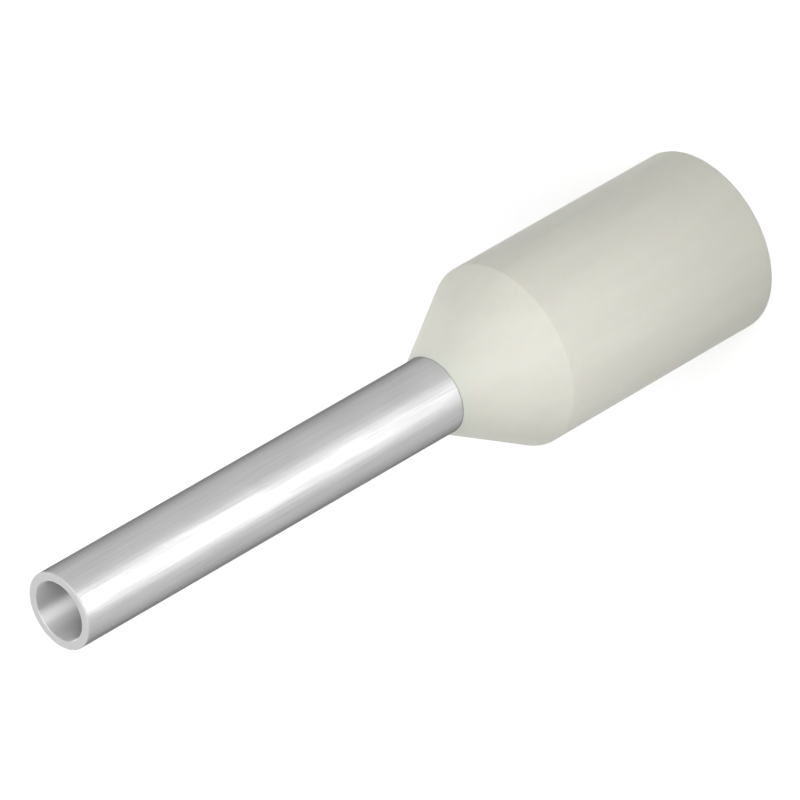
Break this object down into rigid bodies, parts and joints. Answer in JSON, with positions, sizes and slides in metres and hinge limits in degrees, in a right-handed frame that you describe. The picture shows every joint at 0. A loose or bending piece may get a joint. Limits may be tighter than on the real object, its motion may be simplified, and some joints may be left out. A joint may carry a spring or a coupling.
{
  "type": "wire ferrule",
  "caption": "Insulated wire-end ferrule: a thin tinned copper tube flared at its entry, held in an ivory plastic collar with a conical nose",
  "frame": {"origin": "centre of the collar's mouth, on the surface that the ferrule stands on", "axes": "+Z is the ferrule's axis, from the collar's mouth up to the sleeve's tip; X and Y are alike"},
  "size_m": [0.0032, 0.003, 0.014],
  "materials": {
    "tinned_copper": "satin",
    "collar_plastic": "matte"
  },
  "bodies": {
    "root": {"contact_sleeve": "tinned_copper", "insulating_collar": "collar_plastic"}
  },
  "joints": []
}
